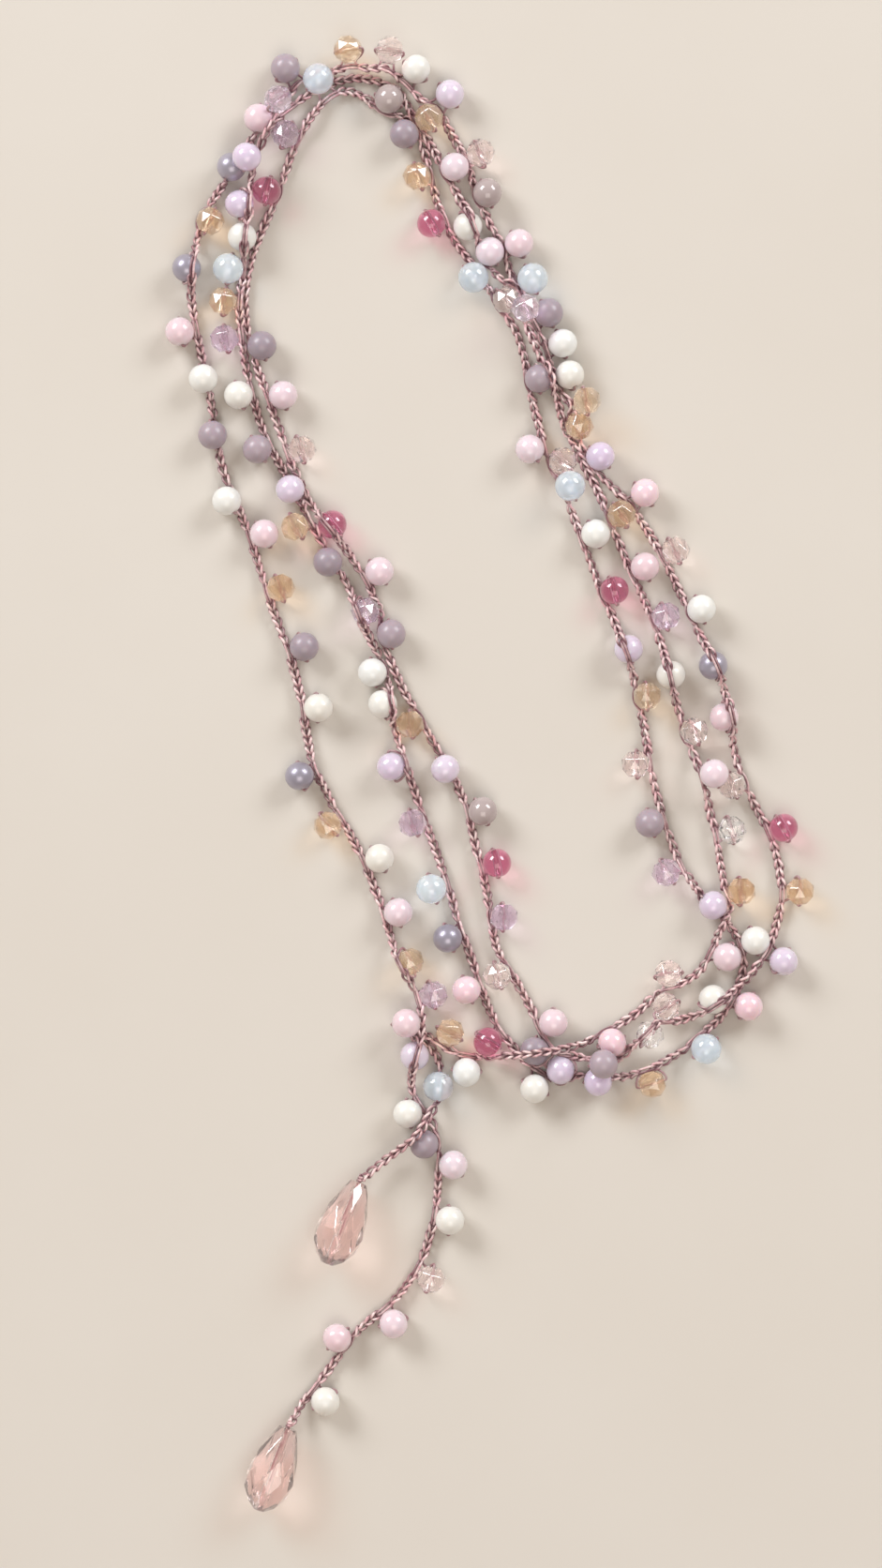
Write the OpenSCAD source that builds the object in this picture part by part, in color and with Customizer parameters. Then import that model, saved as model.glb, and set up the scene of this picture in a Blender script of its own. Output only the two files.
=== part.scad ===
// Multi-strand bead necklace: one thread strand wound in three loops and lying flat, its two tails hooked
// together at the lower left and ended in faceted drops. Beads are drilled and carried by the thread.
// Millimetres, +Z up, the floor at Z = 0, +Y towards the top of the loops.

/* [Thread] */
// radius of the chained strand between beads
chain_radius = 0.7;  // [0.6:0.05:0.75]
// radius of the single thread that passes through a bead
thread_radius = 0.3;  // [0.2:0.05:0.35]
// sides of a strand's cross-section
strand_sides = 8;  // [6, 8]

/* [Beads] */
// radius of a common round bead
bead_radius = 3.1;  // [2.9:0.05:3.1]
// radius of an opal blue bead
blue_radius = 3.3;  // [3.0:0.05:3.3]
// radius of a cut bead over its corners
cut_radius = 3.05;  // [2.8:0.05:3.05]
// radius of the hole through a bead
bore_radius = 0.6;  // [0.5:0.05:0.7]

/* [Drops] */
// length of a drop along its axis
drop_length = 18.5;  // [17:0.5:18.5]
// radius of a drop at its widest ring of corners
drop_radius = 5.3;  // [4.8:0.1:5.3]

/* [Hidden] */
// distance from a bead's surface to the thread's last thin ring and to its first full ring
mouth = 0.3;
shoulder = 1.3;
// room that two full rings need between neighbours
full_room = 3.4;
// room that one full ring needs between a bead and a chain point
point_room = 2.4;
// how far the thread's end stays inside a drop's tip
end_inset = 1.5;
// sides of a cut bead and of a drop
cut_sides = 8;
round_fn = 40;
// moves the routes so that the middle of the whole necklace is at the origin
to_middle = [0.52, 0.26, 0];

// Bead kinds: 1 cream, 2 grey, 3 lavender, 4 pink, 5 coral, 6 steel, 7 blue, 8 raspberry, 9 champagne,
// 10 rose, 11 lilac, 12 clear, 13 taupe, 20 drop. Kind 0 is a plain point of the chain.
cream = 1;
grey = 2;
lavender = 3;
pink = 4;
coral = 5;
steel = 6;
blue = 7;
raspberry = 8;
champagne = 9;
rose = 10;
lilac = 11;
clear = 12;
taupe = 13;
drop = 20;
cut_kinds = [champagne, rose, lilac, clear];

// Outline of a cut bead: [height as a share of its radius, corner radius as a share of it, turn in half sides]
cut_rings = [
    [-0.88, 0.50, 0],
    [-0.36, 0.98, 1],
    [0.36, 0.98, 0],
    [0.88, 0.50, 1]
];

// Outline of a drop: [place along its length, corner radius as a share of the widest, turn in half sides]
drop_rings = [
    [0.00, 0.36, 0],
    [0.24, 0.66, 1],
    [0.60, 1.00, 0],
    [0.82, 0.78, 1],
    [1.00, 0.22, 0]
];

// Routes, one row a station: [x, y, lift above its rest on the floor, kind, bore heading in degrees if given]
route_tail_long = [
    [-46.5, -147.5, 0, drop, 70],
    [-35.5, -133.5, 0, cream, 35],
    [-34.5, -127, 0, 0],
    [-33, -120, 0, pink, 45],
    [-21, -117, 0, pink, 15],
    [-13, -107.5, 0, rose, 75],
    [-9, -95, 0, cream, 90],
    [-8.3, -83.2, 0, pink, 138],
    [-14.5, -78.8, 0, grey, 138],
    [-18, -72.3, 0, cream, 98],
    [-18, -67.3, 0.5, 0]
];
route_left_outer = [
    [-17.9, -66.8, 0.5, 0],
    [-16.5, -60, 0, lavender],
    [-14.5, -53, 1.5, 0],
    [-12.5, -47, 0, lilac],
    [-17.5, -40, 0, champagne],
    [-20, -29.5, 0, pink],
    [-24, -18, 0, cream],
    [-29.5, -14.5, 0, 0],
    [-35, -11, 0, champagne],
    [-41, -0.5, 0, steel],
    [-39.5, 6.5, 0, 0],
    [-37, 14, 0, cream],
    [-40, 27, 0, grey],
    [-45, 39.5, 0, champagne],
    [-48.5, 51, 0, pink],
    [-56.5, 58, 0, cream],
    [-57.5, 65, 0, 0],
    [-59.5, 72, 0, grey],
    [-61.5, 84, 0, cream],
    [-66.5, 94, 0, pink],
    [-64.5, 100.5, 0, 0],
    [-65, 107.5, 0, steel],
    [-60, 117.5, 0, champagne],
    [-55.5, 129, 0, steel],
    [-52, 134.5, 0, 0],
    [-49.8, 139.4, 0, pink, 85],
    [-44, 150, 0, grey],
    [-38, 152, 0, 0],
    [-30.7, 153.8, 1.5, champagne],
    [-26.7, 153.4, 3.4, 0]
];
route_right_outer = [
    [-26.2, 153.4, 3.6, 0],
    [-21.8, 153.5, 2.2, rose, 352],
    [-16.2, 149.8, 0, cream, 320],
    [-9, 144.5, 0, lavender],
    [-7, 137.5, 0, 0],
    [-2.5, 132, 0, rose],
    [-1, 123.5, 0, taupe],
    [5.7, 112.8, 0, pink],
    [8.6, 105.3, 0, blue],
    [12, 98, 0, grey],
    [15, 91.5, 0, cream],
    [16.5, 84.8, 0, cream],
    [20, 79, 3.7, champagne],
    [18.5, 74, 0, champagne],
    [23, 67.5, 0, lavender],
    [32.5, 59.7, 0, coral],
    [39, 47.5, 0, rose],
    [44.5, 35, 0, cream],
    [47, 23, 0, steel],
    [49.3, 12, 0, pink],
    [51, -2.5, 0, rose],
    [56, -7.5, 0, 0],
    [62, -11.5, 0, raspberry],
    [65.5, -25, 0, champagne],
    [63, -32.5, 0, 0],
    [62, -39.9, 0, lavender],
    [56, -43.2, 3, 0],
    [53.5, -44.9, 2.2, 0]
];
route_left_inner_low = [
    [53.1, -45.2, 2.1, 0],
    [51, -46.6, 1.4, 0],
    [47, -48, 0, cream],
    [37, -49.5, 0, rose],
    [33.5, -55.5, 0, clear],
    [29.5, -60.5, 2.5, 0],
    [23.5, -61.5, 4.9, grey],
    [14.5, -63, 0, lavender, 170],
    [9, -59, 0, grey, 85],
    [13, -53, 0, pink, 80],
    [7.5, -48, 0, 0],
    [1, -43, 0, rose],
    [2.5, -30.5, 0, lilac],
    [1, -19, 0, raspberry],
    [-2, -8, 0, taupe],
    [-10, 1, 0, lavender],
    [-17.5, 10.5, 0, champagne, 95],
    [-19, 17, 0, 0],
    [-20.8, 22.6, 0.5, 0]
];
route_left_inner = [
    [-20.9, 23.1, 0.6, 0],
    [-21.5, 29.7, 0, grey, 98],
    [-22.3, 36.5, 0, 0],
    [-24, 43, 0, pink],
    [-34, 53, 0, raspberry],
    [-38.5, 60, 0, 0],
    [-40.5, 69, 0, rose],
    [-44.5, 80.5, 0, pink],
    [-49, 91, 0, grey],
    [-51, 97.5, 0, 0],
    [-51.5, 105, 0, 0],
    [-49, 112, 0, 0],
    [-48, 124, 0, raspberry],
    [-44, 136, 0, lilac],
    [-40.5, 140.5, 1.5, 0],
    [-37, 147.5, 1.6, blue, 40],
    [-31.8, 146, 0, 0],
    [-29.3, 145.5, 0, 0]
];
route_right_inner = [
    [-28.8, 145.4, 0, 0],
    [-22, 143.5, 0, taupe, 335],
    [-18.7, 136, 0, grey],
    [-16, 127, 0, champagne],
    [-13, 117, 0, raspberry],
    [-4, 105.5, 0, blue],
    [3, 100.8, 0, rose],
    [5.5, 94.5, 0, 0],
    [7.5, 89.5, 0, 0],
    [10, 84, 0, grey],
    [9.5, 76.5, 0, 0],
    [8, 69, 0, pink],
    [15, 66.5, 0, rose],
    [16.5, 61, 3, blue],
    [22, 51, 0, cream],
    [26, 39, 0, raspberry],
    [29, 26.5, 0, lavender],
    [33, 16.5, 0, champagne],
    [30.5, 2, 0, rose],
    [33.5, -10.5, 0, grey],
    [37, -21, 0, lilac],
    [41.8, -24.4, 1.8, 0]
];
route_left_middle_low = [
    [42.2, -24.7, 1.8, 0],
    [47, -28, 0, lavender],
    [50.8, -31.3, 0.2, 0],
    [56, -35.5, 0, cream, 285],
    [54.8, -41.8, 0, 0],
    [54.5, -49.5, 0, coral],
    [45.5, -58.5, 0, blue],
    [34, -66, 0, champagne],
    [22.5, -65.5, 0, lavender],
    [17, -68, 0, 0],
    [9, -67, 0, cream],
    [5, -61, 0, 0],
    [-1, -57, 0, raspberry, 150],
    [-5.5, -46, 0, coral],
    [-9.5, -35, 0, steel],
    [-13, -24.5, 0, blue],
    [-17, -10.5, 0, lilac],
    [-21.5, 1.5, 0, lavender],
    [-23.3, 14.8, 0, cream, 100],
    [-25.5, 21.5, 0, cream, 100],
    [-26.3, 27.8, 2, 0]
];
route_left_middle = [
    [-26.4, 28.3, 2, 0],
    [-27, 34.5, 0, lilac, 105],
    [-35, 45, 0, grey],
    [-42, 52.5, 0, champagne],
    [-43, 60.5, 0, lavender],
    [-50, 69, 0, grey],
    [-54, 80.5, 0, cream],
    [-57, 92.5, 0, lilac],
    [-57.3, 100.5, 0, champagne, 81],
    [-56.2, 107.4, 0, blue, 78],
    [-53.2, 114.1, 0, cream, 86],
    [-53.8, 121.1, 0, lavender, 87],
    [-52, 130.5, 5.2, lavender],
    [-49.5, 136.5, 6, 0],
    [-45.5, 143, 2.9, lilac],
    [-40, 145, 1, 0],
    [-35, 147.2, 0, 0],
    [-31, 148.6, 0, 0]
];
route_right_middle = [
    [-30.5, 148.7, 0, 0],
    [-25, 148.8, 0, 0],
    [-19.9, 147.2, 0, 0],
    [-13.5, 139.5, 0, champagne],
    [-8, 129, 0, pink],
    [-5.2, 116.4, 0, cream, 305],
    [-0.5, 111, 0, pink, 305],
    [3, 105.5, 4, 0],
    [7, 98.5, 5, lilac],
    [10, 92, 4, 0],
    [13.2, 84.5, 4.6, 0],
    [14, 78.5, 1.5, 0],
    [15.5, 72.5, 0, 0],
    [19.2, 67, 0, 0],
    [21.8, 61.5, 0, 0],
    [27.5, 55.2, 0, champagne],
    [32.5, 44, 0, pink],
    [37, 33.5, 0, lilac],
    [38, 21, 0, cream],
    [43, 9, 0, rose],
    [47, 0, 4.3, pink],
    [51, -12, 0, clear],
    [53, -25, 0, champagne],
    [51.7, -31.8, 3.3, 0],
    [50, -39, 0, pink],
    [45.3, -43, 1.2, 0]
];
route_hook = [
    [44.8, -42.9, 1.2, 0],
    [37.5, -42.5, 0, rose, 190],
    [34.5, -47.5, 0, 0],
    [30, -53, 0, 0],
    [25.5, -57.2, 0, coral],
    [20, -57, 2, 0],
    [13.5, -58.5, 5, 0],
    [9, -59.5, 6.6, 0],
    [4.5, -59.5, 5, 0],
    [1.5, -61.5, 1.5, 0],
    [-5.5, -63.5, 0, cream, 175],
    [-8.6, -60, 0.8, 0],
    [-9, -55, 1, champagne, 152],
    [-18.3, -53, 1.9, pink, 180],
    [-22.6, -54.6, 2.4, 0]
];
route_tail_short = [
    [-22.9, -55.1, 2, 0],
    [-22.9, -57, 0.6, 0],
    [-20.5, -58.2, 0, 0],
    [-17.5, -57, 0, 0],
    [-13, -58, 0, 0],
    [-11.5, -61.5, 0, 0],
    [-11.5, -66.5, 0, blue],
    [-12, -71, 2.5, 0],
    [-13.5, -74.5, 5, 0],
    [-16, -77.5, 6.1, 0],
    [-19.5, -80, 4, 0],
    [-23.5, -82.3, 2.8, 0],
    [-27.6, -85, 3.2, 0],
    [-31.7, -95.4, 0, drop]
];
routes = [
    route_tail_long, route_left_outer, route_right_outer, route_left_inner_low,
    route_left_inner, route_right_inner, route_left_middle_low, route_left_middle,
    route_right_middle, route_hook, route_tail_short
];

// Half the length that a bead or drop takes of the thread, and how high its middle rests
function half_length(kind) =
    kind == 0 ? 0 :
    kind == drop ? drop_length / 2 :
    kind == blue ? blue_radius :
    is_cut(kind) ? cut_radius : bead_radius;
function is_cut(kind) = len(search(kind, cut_kinds)) > 0;
function rest_height(kind) =
    kind == 0 ? chain_radius :
    kind == drop ? drop_radius : half_length(kind);
function place(row) = to_middle + [row[0], row[1], row[2] + rest_height(row[3])];

// Heading of the thread at a station, from its neighbours or from the row's own bore heading
function unit(v) = v / norm(v);
function heading(route, i) =
    let (last = len(route) - 1)
    len(route[i]) > 4 ? [cos(route[i][4]), sin(route[i][4]), 0] :
    unit(place(route[min(i + 1, last)]) - place(route[max(i - 1, 0)]));

// Free length between two stations once their beads' halves are taken off
function free_room(route, i, j) =
    (j < 0 || j >= len(route)) ? -1 :
    norm(place(route[j]) - place(route[i])) - half_length(route[i][3]) - half_length(route[j][3]);

// Rings of one side of a bead, from its middle outwards: [distance, radius]
function side_rings(route, i, j) =
    let (
        room = free_room(route, i, j),
        half = half_length(route[i][3]),
        needed = route[max(0, min(j, len(route) - 1))][3] == 0 ? point_room : full_room,
        thin = [half + min(mouth, room / 2 - 0.05), thread_radius]
    )
    room < 0 ? [[half - end_inset, thread_radius]] :
    room > needed ? [thin, [half + shoulder, chain_radius]] : [thin];

// Rings of one station in order along the strand: [centre, radius]
function station_rings(route, i) =
    let (p = place(route[i]), d = heading(route, i))
    route[i][3] == 0 ? [[p, chain_radius]] :
    let (back = side_rings(route, i, i - 1), front = side_rings(route, i, i + 1))
    concat(
        [for (k = [len(back) - 1:-1:0]) [p - d * back[k][0], back[k][1]]],
        [for (ring = front) [p + d * ring[0], ring[1]]]
    );
function strand_rings(route) = [for (i = [0:len(route) - 1]) each station_rings(route, i)];

// Points of a swept strand, ring after ring
function ring_points(rings, i) =
    let (
        last = len(rings) - 1,
        ahead = i < last ? unit(rings[i + 1][0] - rings[i][0]) : [0, 0, 0],
        behind = i > 0 ? unit(rings[i][0] - rings[i - 1][0]) : [0, 0, 0],
        along = unit(ahead + behind),
        side = unit(cross([0, 0, 1], along)),
        up = cross(along, side)
    )
    [
        for (k = [0:strand_sides - 1])
            rings[i][0] + rings[i][1] * (side * cos(360 * k / strand_sides) + up * sin(360 * k / strand_sides))
    ];

module strand(route) {
    rings = strand_rings(route);
    n = strand_sides;
    last = len(rings) - 1;
    points = [for (i = [0:last]) each ring_points(rings, i)];
    walls = [
        for (i = [0:last - 1], k = [0:n - 1])
            let (a = i * n + k, b = i * n + (k + 1) % n)
            each [[a, b, b + n], [a, b + n, a + n]]
    ];
    start = [[for (k = [n - 1:-1:0]) k]];
    finish = [[for (k = [0:n - 1]) last * n + k]];
    color("rosybrown")
        polyhedron(points, concat(start, walls, finish), convexity = 20);
}

// Turns a solid made along +Z to a heading and moves it to a place
module aim(p, d) {
    translate(p)
        rotate([0, acos(d[2]), atan2(d[1], d[0])])
            children();
}

// A faceted solid along +Z with a hole through it; rings are [height, radius, turn in half sides]
module cut_solid(rings) {
    n = cut_sides;
    last = len(rings) - 1;
    outer = [
        for (ring = rings, k = [0:n - 1])
            let (a = 360 * (k + ring[2] / 2) / n)
            [ring[1] * cos(a), ring[1] * sin(a), ring[0]]
    ];
    low = [for (k = [n - 1:-1:0]) k];
    high = [for (k = [0:n - 1]) last * n + k];
    // a ring turned by half a side joins the next with triangles that lean to the other side
    bands = [
        for (i = [0:last - 1], k = [0:n - 1])
            let (
                a = i * n + k,
                b = i * n + (k + 1) % n,
                ahead = rings[i + 1][2] > rings[i][2],
                c = (i + 1) * n + k,
                e = (i + 1) * n + (k + 1) % n
            )
            each (ahead ? [[a, b, c], [b, e, c]] : [[a, b, e], [a, e, c]])
    ];
    difference() {
        polyhedron(outer, concat([low], bands, [high]));
        translate([0, 0, rings[0][0] - 1])
            cylinder(r = bore_radius, h = rings[last][0] - rings[0][0] + 2, $fn = round_fn);
    }
}

module round_bead(r) {
    difference() {
        sphere(r = r, $fn = round_fn);
        translate([0, 0, -r - 1])
            cylinder(r = bore_radius, h = 2 * r + 2, $fn = round_fn);
    }
}

module cut_bead() {
    cut_solid([for (ring = cut_rings) [ring[0] * cut_radius, ring[1] * cut_radius, ring[2]]]);
}

// All beads of one kind on all strands
module beads(kind, tint) {
    color(tint)
        for (route = routes, i = [0:len(route) - 1])
            if (route[i][3] == kind)
                aim(place(route[i]), heading(route, i))
                    if (is_cut(kind))
                        cut_bead();
                    else
                        round_bead(half_length(kind));
}

// A faceted drop at the end of a tail, its narrow end towards the strand
module end_drop(route, i, away) {
    color("thistle")
        aim(place(route[i]), heading(route, i) * away)
            translate([0, 0, -drop_length / 2])
                cut_solid([for (ring = drop_rings) [ring[0] * drop_length, ring[1] * drop_radius, ring[2]]]);
}

module strand_tail_long() { strand(route_tail_long); }
module strand_left_outer() { strand(route_left_outer); }
module strand_right_outer() { strand(route_right_outer); }
module strand_left_inner_low() { strand(route_left_inner_low); }
module strand_left_inner() { strand(route_left_inner); }
module strand_right_inner() { strand(route_right_inner); }
module strand_left_middle_low() { strand(route_left_middle_low); }
module strand_left_middle() { strand(route_left_middle); }
module strand_right_middle() { strand(route_right_middle); }
module strand_hook() { strand(route_hook); }
module strand_tail_short() { strand(route_tail_short); }
module beads_cream() { beads(cream, "ivory"); }
module beads_grey() { beads(grey, "thistle"); }
module beads_lavender() { beads(lavender, "lavender"); }
module beads_pink() { beads(pink, "mistyrose"); }
module beads_coral() { beads(coral, "pink"); }
module beads_steel() { beads(steel, "slategray"); }
module beads_blue() { beads(blue, "lightsteelblue"); }
module beads_raspberry() { beads(raspberry, "mediumvioletred"); }
module beads_champagne() { beads(champagne, "burlywood"); }
module beads_rose() { beads(rose, "rosybrown"); }
module beads_lilac() { beads(lilac, "plum"); }
module beads_clear() { beads(clear, "azure"); }
module beads_taupe() { beads(taupe, "tan"); }
module drop_long() { end_drop(route_tail_long, 0, -1); }
module drop_short() { end_drop(route_tail_short, len(route_tail_short) - 1, 1); }

strand_tail_long();
strand_left_outer();
strand_right_outer();
strand_left_inner_low();
strand_left_inner();
strand_right_inner();
strand_left_middle_low();
strand_left_middle();
strand_right_middle();
strand_hook();
strand_tail_short();
beads_cream();
beads_grey();
beads_lavender();
beads_pink();
beads_coral();
beads_steel();
beads_blue();
beads_raspberry();
beads_champagne();
beads_rose();
beads_lilac();
beads_clear();
beads_taupe();
drop_long();
drop_short();
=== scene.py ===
import math
import random

import bmesh
import bpy
import numpy as np
from mathutils import Matrix, Vector
from mathutils.kdtree import KDTree


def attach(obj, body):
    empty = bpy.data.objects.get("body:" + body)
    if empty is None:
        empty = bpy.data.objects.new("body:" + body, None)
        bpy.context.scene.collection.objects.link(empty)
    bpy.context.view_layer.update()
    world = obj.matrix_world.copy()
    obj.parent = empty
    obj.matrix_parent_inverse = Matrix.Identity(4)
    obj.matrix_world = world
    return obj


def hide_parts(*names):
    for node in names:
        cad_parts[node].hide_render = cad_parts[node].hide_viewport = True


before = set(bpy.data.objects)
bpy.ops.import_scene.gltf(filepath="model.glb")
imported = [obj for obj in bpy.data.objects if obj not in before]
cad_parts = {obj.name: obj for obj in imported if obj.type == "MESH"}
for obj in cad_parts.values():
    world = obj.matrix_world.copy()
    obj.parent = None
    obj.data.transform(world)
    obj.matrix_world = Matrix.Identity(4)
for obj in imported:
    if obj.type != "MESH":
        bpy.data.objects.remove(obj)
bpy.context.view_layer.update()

# The view. The necklace lies flat on a table and is seen from straight above, its loops upright in the
# picture and its tails towards the lower left.
MM = 0.001
PIXEL = 0.2 * MM
PHOTO_PX = (941, 1672)
ORIGIN_PX = (522.4, 826.3)


def on_table(px, py):
    """Place on the table, in metres, under a pixel of the photograph."""
    return ((px - ORIGIN_PX[0]) * PIXEL, (ORIGIN_PX[1] - py) * PIXEL)


SENSOR = 36 * MM
LENS = 110 * MM
view_middle = on_table(PHOTO_PX[0] / 2, PHOTO_PX[1] / 2)
view_height = PHOTO_PX[1] * PIXEL * LENS / SENSOR
camera_data = bpy.data.cameras.new("overhead_camera")
camera_data.sensor_width = SENSOR / MM
camera_data.lens = LENS / MM
camera = bpy.data.objects.new("overhead_camera", camera_data)
camera.location = (view_middle[0], view_middle[1], view_height)
bpy.context.scene.collection.objects.link(camera)
bpy.context.scene.camera = camera

# The threading plan. One thread carries every bead, in stretches from the long tail's drop to the short one's.
# A row is (kind, x, y, lift above its rest) in millimetres, then where known the hole's heading in degrees and
# how the loose loop goes by the bead. A row of kind "chain" is a place that the crocheted chain passes.
TO_MIDDLE = (0.52, 0.26)
CHAIN_RADIUS = 0.7
BEAD_RADIUS = {kind: 3.1 for kind in ("cream", "grey", "lavender", "pink", "coral", "steel", "raspberry", "taupe")}
BEAD_RADIUS["blue"] = 3.3
for kind in ("champagne", "rose", "lilac", "clear"):
    BEAD_RADIUS[kind] = 3.05
DROP_LENGTH = 18.5
DROP_RADIUS = 5.3

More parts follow.
